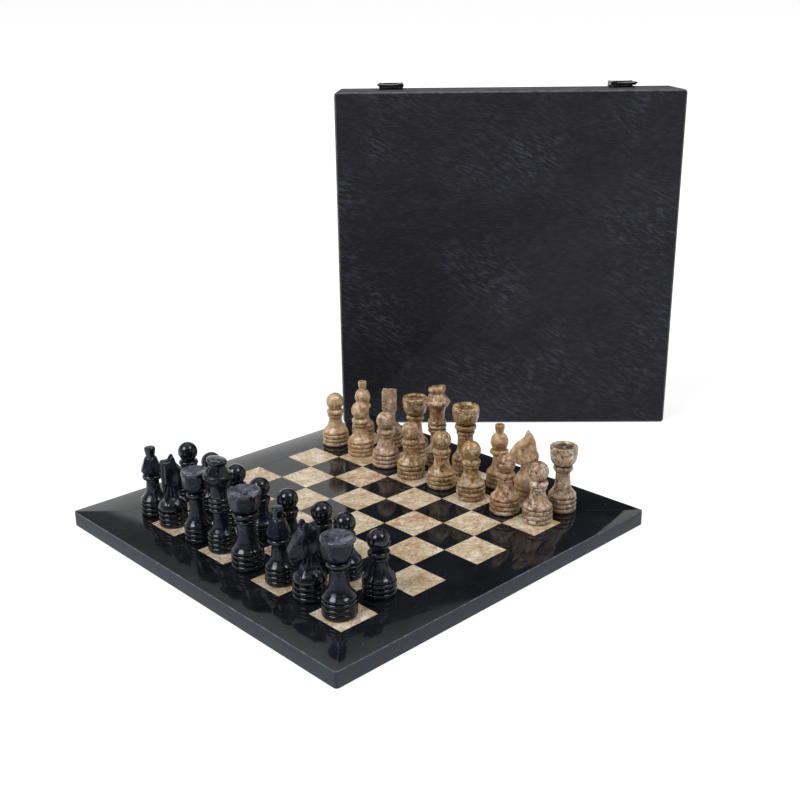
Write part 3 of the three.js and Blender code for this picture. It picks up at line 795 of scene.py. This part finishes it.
def turned_piece(node, kind, look, slot, turn):
    place, radius, height = standing(node)
    side = node.split("_")[0]
    profile = BISHOP[side] if kind == "bishop" else PROFILES[kind]
    vertices, faces = revolve(profile)
    vertices = grind(vertices, kind, turn, GROUND_SHARE[side])
    levels = vertices[:, 2]
    shares = {
        "satin": satin_share(kind, levels),
        "hollow": hollow_share(profile, levels),
        "crown": crown_share(kind, profile, levels),
    }
    if kind == "queen":
        vertices = notch_rim(vertices, turn)
    if kind == "king":
        vertices = tilt_top(vertices, turn)
    girth = radius / TURNED_RADIUS[kind]
    vertices = vertices * (girth, girth, height / np.ptp(vertices[:, 2]))
    obj = mesh_object("fine_" + node, vertices + np.array(place), faces, look, node, slot, [node], sharp=32)
    for name, share in shares.items():
        float_attribute(obj.data, name, share)


# ---------------------------------------------------------------- knights

VOXEL = 0.45
HEAD_LOW, HEAD_HIGH = (-17.0, -17.0, 12.0), (23.0, 17.0, 71.0)
KNIGHT_RADIUS = 14.4
FOOT_TOP = 14.1

# The side view of each head, as [forward, up] points from the throat round to the back of the neck.
HEADS = {
    "pricked": [
        *((8.6, 20), (6.2, 27), (5.4, 32.2), (8.4, 33.4), (12.4, 34.4), (15.6, 36.2), (17.2, 39.2)),
        *((17.1, 43), (15.4, 46.4), (12.8, 50.4), (10.2, 54.2), (7.4, 57.4), (5.9, 60.2), (5.2, 64.2)),
        *((3.4, 67), (1, 65.6), (-0.8, 62.2), (-4.4, 61.6), (-7.2, 62.4), (-8.6, 60), (-8.9, 52)),
        *((-8.6, 44), (-7.8, 35), (-7.9, 28), (-9, 20)),
    ],
    "arched": [
        *((8.6, 20), (7.4, 28), (6.8, 32.4), (8.6, 34.4), (12, 36.4), (16, 38.6), (18.6, 40.8)),
        *((19.7, 43.6), (19.2, 47.2), (17.2, 50.4), (14.2, 53.6), (10.2, 56.4), (6.4, 58.2), (3.8, 60)),
        *((2.6, 63.4), (1.2, 67), (0.2, 68.2), (-1.2, 66.6), (-2.8, 63.4), (-4.4, 59.6), (-5.2, 54.6)),
        *((-6.6, 50), (-8.4, 46), (-8.8, 41.6), (-7.6, 37.4), (-6.6, 33.6), (-7.4, 28), (-9, 20)),
    ],
    "cropped": [
        *((8.6, 20), (6.2, 27), (5.4, 33.4), (8.4, 35), (12.4, 36.2), (15.6, 38.4), (17, 41.4)),
        *((16.4, 45.6), (13.8, 50.4), (10.6, 55.4), (8, 59.6), (5.4, 62.6), (1, 63.6), (-3.6, 64.4)),
        *((-6.4, 66.6), (-8.2, 66.8), (-8.9, 62), (-9, 54), (-8.7, 44), (-7.8, 36), (-7.9, 28), (-9, 20)),
    ],
}
BULB = [(0, 13), (12.6, 13), (14.2, 15.4), (14.2, 18.4), (12.4, 22), (8.6, 25.4), (4, 27.6), (0, 28)]
EAR_ROOT = {"pricked": 60.5, "arched": 60.0, "cropped": 63.6}
EYE = {"pricked": (8.8, 51.5), "arched": (8.0, 51.6), "cropped": (8.4, 52.0)}
NOSTRIL = {"pricked": (14.9, 42.4), "arched": (16.2, 46.4), "cropped": (14.6, 43.6)}
CREST_CUT = {"pricked": 2.6, "arched": 2.0, "cropped": 0.0}
CHEEK_HOLLOW = {"pricked": 1.7, "arched": 1.1, "cropped": 0.6}
EYE_SIZE, NOSTRIL_SIZE, MOUTH_SIZE = 1.15, 0.75, 0.35
EYE_DEPTH, MOUTH_DEPTH = 1.8, 1.0


def outline_distance(u, v, outline):
    """Signed distance to a closed outline, negative inside."""
    distance = np.full(u.shape, np.inf)
    inside = np.zeros(u.shape, bool)
    for (ax, ay), (bx, by) in zip(outline, outline[1:] + outline[:1]):
        ex, ey = bx - ax, by - ay
        along = np.clip(((u - ax) * ex + (v - ay) * ey) / (ex * ex + ey * ey + 1e-12), 0, 1)
        distance = np.minimum(distance, np.hypot(u - ax - along * ex, v - ay - along * ey))
        crosses = (ay > v) != (by > v)
        inside ^= crosses & (u < ax + (v - ay) * ex / (ey if abs(ey) > 1e-12 else 1e-12))
    return np.where(inside, -distance, distance)


def smooth_min(a, b, reach):
    h = np.clip(0.5 + 0.5 * (b - a) / reach, 0, 1)
    return b * (1 - h) + a * h - reach * h * (1 - h)


def smooth_max(a, b, reach):
    return -smooth_min(-a, -b, reach)


def line_distance(u, v, a, b):
    ex, ey = b[0] - a[0], b[1] - a[1]
    along = np.clip(((u - a[0]) * ex + (v - a[1]) * ey) / (ex * ex + ey * ey), 0, 1)
    return np.hypot(u - a[0] - along * ex, v - a[1] - along * ey)


def half_thickness(x, z, crest_cut):
    """Half the width of a head: a slab, thinner at the muzzle and the crest, over a fluted neck."""
    muzzle = np.clip((x - 6) / 11, 0, 1)
    crest = np.clip((-5.4 - x) / 1.4, 0, 1)
    slab = 7.7 - 3.6 * muzzle - crest_cut * crest
    flare = np.clip((32 - z) / 10, 0, 1)
    fan = np.arctan2(x + 1, 50 - z)
    neck = 5.5 + 3.4 * flare**2 + 0.4 * np.cos(30 * fan)
    jaw_line = 39.4 - 0.34 * x
    under = np.clip((jaw_line - z) / 1.6 + 0.5, 0, 1)
    return slab * (1 - under) + neck * under


def shoulder_field(x, y, z):
    """The bulb that carries the neck, as a distance looked up on the radius."""
    reach = np.arange(0, 34, VOXEL / 2)
    grid_r, grid_z = np.meshgrid(reach, z[0, 0, :], indexing="ij")
    table = outline_distance(grid_r, grid_z, smooth_line(BULB, 0.8))
    at = np.clip(np.hypot(x, y)[:, :, 0] / (VOXEL / 2), 0, len(reach) - 2)
    low = at.astype(int)
    part = (at - low)[:, :, None]
    return table[low] * (1 - part) + table[low + 1] * part


def head_field(x, y, z, style):
    """A knight's head and shoulder as a distance field in millimetres."""
    side = np.abs(y)
    outline = smooth_line(HEADS[style], 1.0)
    plane = outline_distance(x[:, 0, :], z[:, 0, :], outline)[:, None, :]
    half = half_thickness(x, z, CREST_CUT[style])
    cheek = np.clip(1 - ((x - 1.4) / 6.4) ** 2 - ((z - 48.5) / 9.0) ** 2, 0, 1) ** 1.3
    head = smooth_max(plane, side - half + cheek * CHEEK_HOLLOW[style], 1.3)
    # The ears: a slit between them, and sides that lean in towards their tips.
    rise = np.clip(z - EAR_ROOT[style], 0, 9)
    head = smooth_max(head, np.where(rise > 0, 0.9 + 0.35 * rise - side, -9), 0.8)
    head = smooth_max(head, np.where(rise > 0, side - 7.4 + 0.30 * rise, -9), 0.8)
    form = smooth_min(head, shoulder_field(x, y, z), 1.8)
    # Eye, nostril and mouth are cut a little way into both cheeks.
    for (u, v), size in ((EYE[style], EYE_SIZE), (NOSTRIL[style], NOSTRIL_SIZE)):
        hole = np.hypot(x - u, z - v) - size
        form = smooth_max(form, -np.maximum(hole, half - EYE_DEPTH - side), 0.35)
    nostril = NOSTRIL[style][1]
    mouth = line_distance(x, z, (21.0, nostril - 4.8), (11.5, nostril - 4.0)) - MOUTH_SIZE
    form = smooth_max(form, -np.maximum(mouth, half - MOUTH_DEPTH - side), 0.3)
    return smooth_max(form, FOOT_TOP - z, 0.2)


def knight_head(style):
    """The mesh of a head and shoulder, in millimetres."""
    axes = [np.arange(low, high, VOXEL) for low, high in zip(HEAD_LOW, HEAD_HIGH)]
    x, y, z = np.meshgrid(*axes, indexing="ij")
    field = head_field(x, y, z, style)
    grid = openvdb.FloatGrid(3.0)
    grid.copyFromArray(np.clip(field, -3, 3).astype(np.float32))
    points, quads = grid.convertToQuads(isovalue=0.0)
    return points * VOXEL + HEAD_LOW, [tuple(int(i) for i in q) for q in quads]


def heading_of(node, place):
    """The direction in which a CAD knight looks: where its upper half reaches furthest."""
    points = cad_points(node) - np.array(place)
    upper = points[points[:, 2] > 30 * MM]
    reach = np.hypot(upper[:, 0], upper[:, 1])
    nose = upper[reach > reach.max() - 0.05 * MM].mean(0)
    return math.atan2(nose[1], nose[0])


def knight(node, head, look, slot):
    place, radius, height = standing(node)
    lower = foot(KNIGHT_RADIUS, 4.7) + [(12.6, 14.3), (9, 14.6), (0, 14.6)]
    vertices, faces = merged([revolve(lower), head])
    vertices = np.array(vertices)
    z = vertices[:, 2].copy()
    girth = radius / KNIGHT_RADIUS
    vertices = vertices * (girth, girth, height / np.ptp(z))
    angle = heading_of(node, place)
    c, s = math.cos(angle), math.sin(angle)
    x, y = vertices[:, 0] * c - vertices[:, 1] * s, vertices[:, 0] * s + vertices[:, 1] * c
    vertices = np.stack([x, y, vertices[:, 2]], axis=1) + np.array(place)
    obj = mesh_object("fine_" + node, vertices, faces, look, node, slot, [node], sharp=40)
    float_attribute(obj.data, "satin", np.clip((z - 22) / 6, 0, 1))
    float_attribute(obj.data, "hollow", np.where(z < FOOT_TOP, hollow_share(lower, z), 0))


KNIGHT_STYLE = {
    "black_knight_b": "pricked",
    "black_knight_g": "pricked",
    "coral_knight_b": "arched",
    "coral_knight_g": "cropped",
}
BACK_ROW = ["rook", "knight", "bishop", "queen", "king", "rook", "knight", "bishop"]
CORAL_BACK_TONES = ["speckled", "tan", "honey", "umber", "russet", "umber", "rose", "tan"]
CORAL_PAWN_TONES = ["speckled", "russet", "umber", "umber", "umber", "rose", "tan", "tan"]


def build_pieces():
    onyx = black_onyx()
    corals = {tone: coral_stone(tone) for tone in CORAL_TONES}
    heads = {style: knight_head(style) for style in HEADS}
    rng = np.random.default_rng(5)
    for side, slot in (("black", "black_onyx"), ("coral", "coral_stone")):
        for file, letter in enumerate("abcdefgh"):
            kind = BACK_ROW[file]
            look = onyx if side == "black" else corals[CORAL_BACK_TONES[file]]
            node = f"{side}_{kind}_{letter}"
            turn = rng.uniform(0, TAU)
            if kind == "knight":
                knight(node, heads[KNIGHT_STYLE[node]], look, slot)
            else:
                turned_piece(node, kind, look, slot, turn)
            look = onyx if side == "black" else corals[CORAL_PAWN_TONES[file]]
            turned_piece(f"{side}_pawn_{letter}", "pawn", look, slot, turn)


# ---------------------------------------------------------------- case

BASE_LOW, BASE_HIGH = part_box("case_base_shell")
LID_LOW, LID_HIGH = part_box("case_lid_shell")
CASE_MIDDLE = (BASE_LOW.x + BASE_HIGH.x) / 2
CASE_HALF = (BASE_HIGH.x - BASE_LOW.x) / 2
CASE_TOP = BASE_HIGH.z
LID_BACK = LID_HIGH.y
LID_FRONT = LID_LOW.y
SEAM = 0.4 * MM
BASE_BACK = LID_FRONT - SEAM
WALL = 8 * MM
WALL_ROUND = 1.2 * MM
BASE_FLOOR = 5 * MM
LID_FLOOR = 4 * MM
CASE_CORNER = 4 * MM
CORNER_STEPS = 6
EDGE_ROUND = 2.4 * MM
LIP_ROOT, LIP_CHAMFER = 2 * MM, 0.8 * MM
HINGE_PLAY = 0.3 * MM
LEAF_RECESS = 1.5 * MM
BARREL_REACH = 9 * MM  # how far the barrel stands out behind the lid, with room to spare


def rounded_loop(half, low, high, radius):
    """A rectangle with rounded corners in X and Z, counter-clockwise as seen from -Y."""
    loop = []
    for cx, cz, start in ((half, low, -90), (half, high, 0), (-half, high, 90), (-half, low, 180)):
        mx, mz = cx - math.copysign(radius, cx), cz + (radius if cz == low else -radius)
        for step in range(CORNER_STEPS + 1):
            a = math.radians(start + 90 * step / CORNER_STEPS)
            loop.append((mx + radius * math.cos(a), mz + radius * math.sin(a)))
    return loop


def shell_mesh(low, stations, outward):
    """A tray swept through (inset, y) stations round a rounded rectangle, closed at both ends."""
    vertices, faces = [], []
    for inset, y in stations:
        radius = max(CASE_CORNER - inset, 1.0 * MM)
        loop = rounded_loop(CASE_HALF - inset, low + inset, CASE_TOP - inset, radius)
        vertices += [(CASE_MIDDLE + x, y, z) for x, z in loop]
    count = len(vertices) // len(stations)
    for s in range(len(stations) - 1):
        for i in range(count):
            j = (i + 1) % count
            a, b = s * count, (s + 1) * count
            quad = (a + i, b + i, b + j, a + j)
            faces.append(quad if outward else quad[::-1])
    first, last = tuple(range(count)), tuple(range(len(vertices) - count, len(vertices)))
    faces.append(first if outward else first[::-1])
    faces.append(last[::-1] if outward else last)
    return vertices, faces


def rounded_edge(inset0, y0, inset1, y1, steps=4):
    """Stations of a quarter round between two (inset, y) places."""
    stations = []
    for step in range(1, steps + 1):
        a = math.pi / 2 * step / steps
        stations.append((inset0 + (inset1 - inset0) * math.sin(a), y0 + (y1 - y0) * (1 - math.cos(a))))
    return stations


def cut(obj, tools):
    """Subtracts closed tool meshes from a piece, and removes them."""
    for tool in tools:
        modifier = obj.modifiers.new("cut", "BOOLEAN")
        modifier.operation = "DIFFERENCE"
        modifier.solver = "EXACT"
        modifier.object = tool
    evaluated = obj.evaluated_get(bpy.context.evaluated_depsgraph_get())
    mesh = bpy.data.meshes.new_from_object(evaluated)
    obj.modifiers.clear()
    obj.data = mesh
    for tool in tools:
        bpy.data.objects.remove(tool)


def tool_object(vertices, faces):
    mesh = bpy.data.meshes.new("tool")
    mesh.from_pydata([tuple(v) for v in vertices], [], faces)
    obj = bpy.data.objects.new("tool", mesh)
    bpy.context.scene.collection.objects.link(obj)
    return obj


def hinge_room(side):
    """The recess of one hinge, a little larger than its leaves and its barrel."""
    low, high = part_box(f"hinge_base_leaf_{side}")
    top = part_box(f"hinge_lid_leaf_{side}")[1].z
    block_low = (low.x - HINGE_PLAY, LID_BACK - LEAF_RECESS, low.z - HINGE_PLAY)
    block_high = (high.x + HINGE_PLAY, LID_BACK + BARREL_REACH, top + HINGE_PLAY)
    return tool_object(*chamfered_block(block_low, block_high, 0.01 * MM))


def worn_share(mesh, low, high, reach=2.5 * MM):
    """How near each vertex is to an outer edge of the case, from 0 to 1: where the leatherette rubs."""
    points = np.array([v.co for v in mesh.vertices])
    near = np.sort(np.minimum(points - low, high - points), axis=1)
    return np.clip(1 - near[:, 1] / reach, 0, 1)


def case_half(name, low, stations, outward, look, body, node):
    """The wrapped base or lid of the case, from `low` up, whose tray opens to the back or to the front."""
    vertices, faces = shell_mesh(low, stations, outward)
    return mesh_object(name, vertices, faces, look, body, "leatherette", [node], sharp=35)


def build_base(look):
    front, rim = BASE_LOW.y, WALL_ROUND
    stations = [(EDGE_ROUND, front)]
    stations += rounded_edge(EDGE_ROUND, front, 0, front + EDGE_ROUND)
    stations += [(0, BASE_BACK - rim)]
    stations += rounded_edge(0, BASE_BACK - rim, rim, BASE_BACK)
    stations += [(WALL - rim, BASE_BACK), (WALL, BASE_BACK - rim), (WALL, front + BASE_FLOOR)]
    shell = case_half("base_shell_wrapped", BASE_LOW.z, stations, True, look, "case_base", "case_base_shell")
    lip_low = (BASE_LOW.x + CASE_CORNER, BASE_BACK - LIP_ROOT, 0)
    lip_high = (BASE_HIGH.x - CASE_CORNER, LID_BACK, LID_LOW.z - SEAM)
    block = chamfered_block(lip_low, lip_high, LIP_CHAMFER)
    lip = mesh_object("base_lip_wrapped", *block, look, "case_base", "leatherette")
    cut(lip, [hinge_room("left"), hinge_room("right")])
    for obj in (shell, lip):
        share = worn_share(obj.data, np.array(BASE_LOW), np.array((BASE_HIGH.x, LID_BACK, CASE_TOP)))
        float_attribute(obj.data, "worn", share)


def build_lid(look):
    rim = WALL_ROUND
    stations = [(EDGE_ROUND, LID_BACK)]
    stations += rounded_edge(EDGE_ROUND, LID_BACK, 0, LID_BACK - EDGE_ROUND)
    stations += [(0, LID_FRONT + rim), (rim / 3, LID_FRONT + rim / 3), (rim, LID_FRONT)]
    stations += [(WALL - rim, LID_FRONT), (WALL, LID_FRONT + rim), (WALL, LID_BACK - LID_FLOOR)]
    shell = case_half("lid_shell_wrapped", LID_LOW.z, stations, False, look, "case_lid", "case_lid_shell")
    cut(shell, [hinge_room("left"), hinge_room("right")])
    low = np.array((LID_LOW.x, BASE_LOW.y, LID_LOW.z))
    float_attribute(shell.data, "worn", worn_share(shell.data, low, np.array(LID_HIGH)))


CHANNELS = 8
CHANNEL_WIDTH = 39.5 * MM
CHANNEL_LENGTH = 350 * MM
CHANNEL_LIP = 2.4 * MM
TRAY_FLOOR = 6 * MM
TRAY_SINK = 0.2 * MM


def relief_slab(back_y, xs, zs, relief):
    """A closed slab between y = back_y and the surface y = relief(x, z) over a grid."""
    gx, gz = np.meshgrid(xs, zs, indexing="ij")
    front = np.stack([gx, relief(gx, gz), gz], axis=-1).reshape(-1, 3)
    back = np.stack([gx, np.full(gx.shape, back_y), gz], axis=-1).reshape(-1, 3)
    nx, nz = len(xs), len(zs)
    start = nx * nz
    faces = []
    for i in range(nx - 1):
        for j in range(nz - 1):
            a, b, c, d = i * nz + j, (i + 1) * nz + j, (i + 1) * nz + j + 1, i * nz + j + 1
            faces.append((a, b, c, d))
            faces.append((start + d, start + c, start + b, start + a))
    edge = [i * nz for i in range(nx)] + [(nx - 1) * nz + j for j in range(1, nz)]
    edge += [i * nz + nz - 1 for i in range(nx - 2, -1, -1)] + [j for j in range(nz - 2, 0, -1)]
    for a, b in zip(edge, edge[1:] + edge[:1]):
        faces.append((b, a, start + a, start + b))
    return np.vstack([front, back]), faces


def channel_relief(low, high):
    """The tray's surface: eight long troughs with rounded lips and round bottoms."""
    web = ((high.z - low.z) - CHANNELS * CHANNEL_WIDTH) / (CHANNELS + 1)
    middle_x = (low.x + high.x) / 2
    depth = (high.y - low.y) - TRAY_FLOOR

    def relief(x, z):
        along = (z - low.z - web) % (CHANNEL_WIDTH + web)
        inside = np.minimum(along, CHANNEL_WIDTH - along)
        ends = CHANNEL_LENGTH / 2 - np.abs(x - middle_x)
        slope = np.clip(np.minimum(inside, ends) / CHANNEL_LIP, 0, 1)
        return high.y - depth * (slope * slope * (3 - 2 * slope)) - TRAY_SINK

    return relief


def build_tray(look):
    low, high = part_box("case_foam_tray")
    # Closer grid lines where the troughs end.
    near = (high.x - low.x - CHANNEL_LENGTH) / 2 + np.linspace(-1.5 * MM, 3 * MM, 10)
    xs = np.unique(np.concatenate([np.linspace(low.x, high.x, 60), low.x + near, high.x - near]))
    zs = np.linspace(low.z, high.z, 460)
    vertices, faces = relief_slab(low.y, xs, zs, channel_relief(low, high))
    faces = [face[::-1] for face in faces]
    nodes = ["case_foam_tray"]
    tray = mesh_object("foam_tray_moulded", vertices, faces, look, "case_base", "tray_foam", nodes, sharp=50)


QUILT = 62 * MM
PAD_CROWN = 5.5 * MM
PAD_EDGE = 14 * MM  # from the pad's rim to the full height of its crown
PAD_THICKNESS = 3.2 * MM


def build_lid_pad(look):
    """A velvet pad with a soft crown and quilting in wide diamonds."""
    low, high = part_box("case_lid_pad")
    middle = (low + high) / 2

    def relief(x, z):
        rim = np.minimum(np.minimum(x - low.x, high.x - x), np.minimum(z - low.z, high.z - z))
        crown = np.sqrt(np.clip(rim / PAD_EDGE, 0, 1)) * PAD_CROWN
        u, v = (x - middle.x + z - middle.z) / QUILT, (x - middle.x - z + middle.z) / QUILT
        seam = np.minimum(np.abs(u - np.round(u)), np.abs(v - np.round(v)))
        puff = np.clip(seam * 3.2, 0, 1) ** 0.5
        return high.y - PAD_THICKNESS - crown * (0.35 + 0.65 * puff)

    xs, zs = np.linspace(low.x, high.x, 200), np.linspace(low.z, high.z, 200)
    vertices, faces = relief_slab(high.y, xs, zs, relief)
    nodes = ["case_lid_pad"]
    pad = mesh_object("lid_pad_quilted", vertices, faces, look, "case_lid", "lid_velvet", nodes, sharp=60)


def screw(place, radius, axis):
    """A domed screw head with a slot, on a face that looks along `axis`."""
    dome = [(radius * math.cos(a), 0.05 + 0.5 * math.sin(a)) for a in np.linspace(0.15, 1.4, 8)]
    vertices, faces = revolve([(0, -0.3), (radius, -0.3), (radius, 0.05), *dome, (0, 0.55)], 32)
    slot = (np.abs(vertices[:, 1]) < 0.28) & (vertices[:, 2] > 0.1)
    vertices[slot, 2] -= 0.3
    turn = Vector((0, 0, 1)).rotation_difference(Vector(axis)).to_matrix()
    return [Vector(place) + turn @ (Vector(v) * MM) for v in vertices], faces


def across(low, high, shares):
    return [low.x + (high.x - low.x) * share for share in shares]


def hinge_screws(side, look):
    low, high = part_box(f"hinge_lid_leaf_{side}")
    z = high.z - 5 * MM
    parts = [screw((x, LID_BACK, z), 2.0, (0, 1, 0)) for x in across(low, high, (0.14, 0.5, 0.86))]
    mesh_object(f"hinge_screws_{side}", *merged(parts), look, "case_lid", "plated_steel", sharp=35)


def latch_rivets(side, look):
    low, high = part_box(f"latch_keeper_{side}")
    y, z = high.y - 3.2 * MM, low.z + 1.0 * MM
    parts = [screw((x, y, z), 1.3, (0, 0, 1)) for x in across(low, high, (0.12, 0.88))]
    mesh_object(f"latch_rivets_{side}", *merged(parts), look, "case_base", "black_metal", sharp=35)


def build_case():
    wrap, foam, velvet = leatherette(), tray_foam(), lid_velvet()
    dark, steel = black_metal(), plated_steel()
    build_base(wrap)
    build_lid(wrap)
    build_tray(foam)
    build_lid_pad(velvet)
    for side in ("left", "right"):
        for part in ("hinge_base_leaf", "hinge_lid_leaf", "hinge_pin"):
            dress(f"{part}_{side}", steel, 0.2 * MM)
        for part in ("latch_keeper", "latch_bracket", "latch_lever", "latch_pin"):
            dress(f"{part}_{side}", dark, 0.25 * MM)
        hinge_screws(side, steel)
        latch_rivets(side, dark)


# ---------------------------------------------------------------- stage

CAMERA_PLACE = (0.0611, -0.9164, 0.4419)
CAMERA_YAW, CAMERA_PITCH, CAMERA_ROLL = 91.21, -19.09, -0.61
CAMERA_LENS = 48.0
FLOOR_REACH = 14.0
# How bright the backdrop is at each height of its direction, and at each direction along Y.
SKY = ((0.0, 1.0), (0.30, 0.80), (0.44, 0.76), (0.48, 0.18), (0.58, 0.18), (0.70, 0.45), (0.86, 1.0))
DEPTH = {"From Min": -0.7, "From Max": 0.5, "To Min": 0.34, "To Max": 1.0}


def add_camera():
    yaw, pitch, roll = (math.radians(a) for a in (CAMERA_YAW, CAMERA_PITCH, CAMERA_ROLL))
    level = Vector((math.sin(yaw), -math.cos(yaw), 0))
    ahead = Vector((math.cos(yaw) * math.cos(pitch), math.sin(yaw) * math.cos(pitch), math.sin(pitch)))
    over = level.cross(ahead)
    right = math.cos(roll) * level + math.sin(roll) * over
    up = math.cos(roll) * over - math.sin(roll) * level
    data = bpy.data.cameras.new("camera")
    data.lens, data.sensor_width, data.clip_end = CAMERA_LENS, 36.0, 30.0
    camera = bpy.data.objects.new("camera", data)
    axes = Matrix((right, up, -ahead)).transposed().to_4x4()
    camera.matrix_world = Matrix.Translation(CAMERA_PLACE) @ axes
    bpy.context.scene.collection.objects.link(camera)
    bpy.context.scene.camera = camera


def add_floor():
    look = Look("pale_floor", specular_ior_level=0.1)
    grain = look.noise(look.place(), 3.0, 3)
    look.set("Base Color", look.ramp(grain, (0.3, 0.34), (0.7, 0.38)))
    look.set("Emission Color", (1.0, 1.0, 1.0, 1.0))
    look.set("Emission Strength", 0.74)
    look.rough(grain, 0.85, 0.95)
    mesh = bpy.data.meshes.new("floor")
    corners = [(-1, -1), (1, -1), (1, 1), (-1, 1)]
    mesh.from_pydata([(FLOOR_REACH * x, FLOOR_REACH * y, 0) for x, y in corners], [], [(0, 1, 2, 3)])
    mesh.materials.append(look.material)
    floor = bpy.data.objects.new("floor", mesh)
    floor.location.z = -0.2 * MM
    bpy.context.scene.collection.objects.link(floor)


def add_sun(name, direction, strength, angle):
    """A soft, distant light that shines from a direction."""
    data = bpy.data.lights.new(name, "SUN")
    data.energy, data.angle = strength, math.radians(angle)
    light = bpy.data.objects.new(name, data)
    light.rotation_euler = Vector(direction).to_track_quat("Z", "Y").to_euler()
    bpy.context.scene.collection.objects.link(light)


def add_world():
    """A pale studio: white behind the board, dimmer overhead and on the side where the viewer stands."""
    world = bpy.data.worlds.new("studio")
    world.use_nodes = True
    nodes, link = world.node_tree.nodes, world.node_tree.links.new
    split = nodes.new("ShaderNodeSeparateXYZ")
    link(nodes.new("ShaderNodeTexCoord").outputs["Generated"], split.inputs[0])
    overhead = nodes.new("ShaderNodeValToRGB")
    fill_ramp(overhead, SKY)
    link(split.outputs["Z"], overhead.inputs[0])
    behind = nodes.new("ShaderNodeMapRange")
    link(split.outputs["Y"], behind.inputs["Value"])
    for socket, value in DEPTH.items():
        behind.inputs[socket].default_value = value
    product = nodes.new("ShaderNodeVectorMath")
    product.operation = "SCALE"
    link(overhead.outputs[0], product.inputs[0])
    link(behind.outputs[0], product.inputs["Scale"])
    link(product.outputs[0], nodes["Background"].inputs[0])
    nodes["Background"].inputs[1].default_value = 1.0
    bpy.context.scene.world = world


def build_stage():
    add_camera()
    add_floor()
    add_world()
    add_sun("key_left", (-0.53, -0.42, 0.71), 1.9, 30)
    add_sun("key_right", (0.52, -0.22, 0.81), 0.9, 24)
    bpy.context.scene.view_settings.view_transform = "Standard"


build_stage()
build_board()
build_pieces()
build_case()
